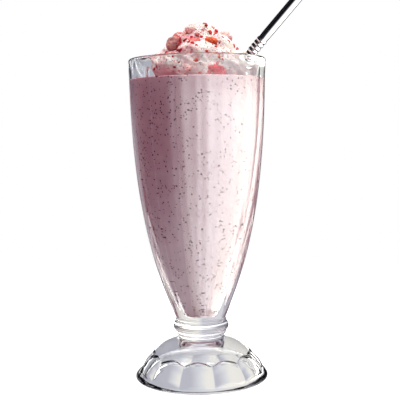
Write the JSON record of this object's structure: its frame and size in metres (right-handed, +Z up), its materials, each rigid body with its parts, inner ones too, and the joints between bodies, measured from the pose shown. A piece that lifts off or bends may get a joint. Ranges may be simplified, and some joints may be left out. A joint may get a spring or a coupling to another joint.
{
  "type": "strawberry milkshake in a soda glass",
  "caption": "Strawberry milkshake in a tall fluted soda glass on a domed foot, with whipped cream, strawberry pieces and a bent steel straw.",
  "frame": {"origin": "on the surface the glass stands on, under the middle of the whole part's bounding box, straw included", "axes": "+Z up along the glass's axis, -Y towards the viewer, +X to the side the straw leans to"},
  "size_m": [0.1106, 0.086, 0.2434],
  "materials": {
    "glass": "clear pressed glass, fire polished",
    "milkshake": "milky pink drink with fine dark strawberry seeds",
    "whipped_cream": "soft whipped cream with strawberry crumbs",
    "strawberry": "rough freeze dried strawberry",
    "steel": "polished stainless steel"
  },
  "bodies": {
    "root": {"glass": "glass", "milkshake": "milkshake", "whipped_cream": "whipped_cream", "straw": "steel", "strawberry_piece_1": "strawberry", "strawberry_piece_2": "strawberry", "strawberry_piece_3": "strawberry", "strawberry_piece_4": "strawberry", "strawberry_piece_5": "strawberry", "strawberry_piece_6": "strawberry", "strawberry_piece_7": "strawberry", "strawberry_piece_8": "strawberry"}
  },
  "joints": []
}
